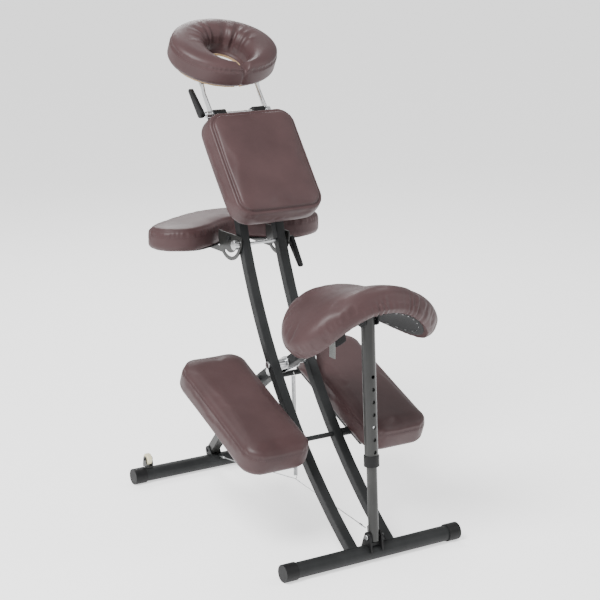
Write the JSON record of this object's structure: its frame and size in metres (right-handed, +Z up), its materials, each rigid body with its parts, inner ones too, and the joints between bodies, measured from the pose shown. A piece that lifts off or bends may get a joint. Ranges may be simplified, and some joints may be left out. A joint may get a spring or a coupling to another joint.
{
  "type": "kneeling massage chair",
  "caption": "Folding kneeling massage chair: bowed steel rails with an adjustable saddle seat, knee pads, chest pad, armrest and face cradle.",
  "frame": {"origin": "bottom centre of the chair's box, on the floor", "axes": "+Z up, +Y the way the kneeling user faces, +X to the user's right"},
  "size_m": [0.522, 0.857, 1.2251],
  "materials": {
    "dark_steel": "satin charcoal powder coat",
    "grey_steel": "mid-grey satin paint",
    "zinc": "bright zinc plate",
    "black_plastic": "moulded, fine grain",
    "leatherette": "brown-maroon leatherette, soft sheen",
    "plywood": "light plywood",
    "lining": "dark grey felt lining over a plywood board",
    "webbing": "grey woven webbing",
    "cream_plastic": "cream wheel"
  },
  "bodies": {
    "rails": {"rail_left": "dark_steel", "rail_right": "dark_steel", "rear_foot_bar": "dark_steel", "rear_cap_left": "black_plastic", "rear_cap_right": "black_plastic", "rail_plug_left": "black_plastic", "rail_plug_right": "black_plastic", "knee_axle": "dark_steel", "post_clevis": "black_plastic", "post_clevis_bolt": "zinc", "crossing_bolt": "zinc", "armrest_hanger_left": "dark_steel", "armrest_hanger_right": "dark_steel", "armrest_clamp_rod": "zinc", "chest_bolt": "zinc", "safety_cable": "zinc", "cable_spring": "zinc"},
    "front_leg": {"leg_tube": "dark_steel", "leg_fork": "zinc"},
    "leg_extension": {"leg_extension": "grey_steel", "front_foot_bar": "dark_steel", "front_cap_left": "black_plastic", "front_cap_right": "black_plastic", "wheel_fork_left": "grey_steel", "wheel_fork_right": "grey_steel"},
    "leg_button": {"leg_button": "zinc"},
    "wheel_left": {"wheel_left": "cream_plastic"},
    "wheel_right": {"wheel_right": "cream_plastic"},
    "seat_frame": {"seat_bar": "dark_steel", "seat_bracket": "dark_steel", "seat_bolt": "zinc", "seat_board": "lining", "seat_pad": "leatherette", "seat_strap": "webbing"},
    "post_lower": {"post_lower": "grey_steel"},
    "post_button": {"post_button": "zinc"},
    "post_upper": {"post_upper": "grey_steel", "post_collar": "black_plastic"},
    "knee_pads": {"knee_bracket_left": "dark_steel", "knee_bracket_right": "dark_steel", "knee_board_left": "lining", "knee_board_right": "lining", "knee_pad_left": "leatherette", "knee_pad_right": "leatherette"},
    "armrest": {"armrest_board": "lining", "armrest_pad": "leatherette", "armrest_quadrant_left": "grey_steel", "armrest_quadrant_right": "grey_steel"},
    "armrest_lever": {"armrest_lever": "black_plastic"},
    "chest": {"chest_frame": "dark_steel", "chest_board": "lining", "chest_pad": "leatherette", "cradle_rod": "zinc", "cradle_block_left": "black_plastic", "cradle_block_right": "black_plastic"},
    "cradle": {"cradle_base": "plywood", "cradle_pad": "leatherette", "cradle_strut_left": "zinc", "cradle_strut_right": "zinc"},
    "cradle_lever": {"cradle_lever": "black_plastic"}
  },
  "joints": [
    {"name": "front_leg_fold", "type": "hinge", "parent": "rails", "child": "front_leg", "pos_m": [0, -0.01552, 0.40227], "axis": [1, 0, 0], "range_deg": [-80, 0], "deforming": ["cable_spring", "safety_cable"]},
    {"name": "leg_length", "type": "slide", "parent": "front_leg", "child": "leg_extension", "axis": [0, 0.6691, -0.7431], "range_m": [-0.042, 0]},
    {"name": "leg_button_press", "type": "slide", "parent": "leg_extension", "child": "leg_button", "axis": [-1, 0, 0], "range_m": [0, 0.003], "stiffness_N_per_m": 400},
    {"name": "wheel_left_spin", "type": "hinge", "parent": "leg_extension", "child": "wheel_left", "pos_m": [-0.203, 0.38528, 0.062], "axis": [1, 0, 0], "continuous": true},
    {"name": "wheel_right_spin", "type": "hinge", "parent": "leg_extension", "child": "wheel_right", "pos_m": [0.203, 0.38528, 0.062], "axis": [1, 0, 0], "continuous": true},
    {"name": "seat_height", "type": "hinge", "parent": "rails", "child": "seat_frame", "pos_m": [0, -0.01552, 0.40227], "axis": [1, 0, 0], "range_deg": [-5.01, 5.01]},
    {"name": "post_lean", "type": "hinge", "parent": "rails", "child": "post_lower", "pos_m": [0, -0.38372, 0.062], "axis": [1, 0, 0], "range_deg": [-1.6, 1.6]},
    {"name": "post_length", "type": "slide", "parent": "post_lower", "child": "post_upper", "axis": [0, 0.0651, 0.9979], "range_m": [-0.031, 0.031]},
    {"name": "post_button_press", "type": "slide", "parent": "post_lower", "child": "post_button", "axis": [0, 0.9979, -0.0651], "range_m": [0, 0.003], "stiffness_N_per_m": 400},
    {"name": "knee_fold", "type": "hinge", "parent": "rails", "child": "knee_pads", "pos_m": [0, -0.14188, 0.2395], "axis": [1, 0, 0], "range_deg": [0, 27]},
    {"name": "armrest_tilt", "type": "hinge", "parent": "rails", "child": "armrest", "pos_m": [0, 0.16228, 0.692], "axis": [1, 0, 0], "range_deg": [-80, 0]},
    {"name": "armrest_lever_swing", "type": "hinge", "parent": "rails", "child": "armrest_lever", "pos_m": [0.0842, 0.12126, 0.68148], "axis": [0, -0.788, 0.6157], "range_deg": [0, 90]},
    {"name": "chest_tilt", "type": "hinge", "parent": "rails", "child": "chest", "pos_m": [0, 0.14773, 0.76469], "axis": [1, 0, 0], "range_deg": [-10, 10]},
    {"name": "cradle_tilt", "type": "hinge", "parent": "chest", "child": "cradle", "pos_m": [0, 0.23328, 0.997], "axis": [1, 0, 0], "range_deg": [-15, 30]},
    {"name": "cradle_lever_swing", "type": "hinge", "parent": "chest", "child": "cradle_lever", "pos_m": [-0.1079, 0.23328, 0.997], "axis": [0, -0.7193, 0.6947], "range_deg": [0, 90]}
  ],
  "couplings": [
    {"joint": "post_lean", "follows": "seat_height", "ratio": 0.30373},
    {"joint": "post_length", "follows": "seat_height", "m_per_rad": -0.34525},
    {"joint": "knee_fold", "follows": "front_leg_fold", "ratio": -0.33}
  ]
}
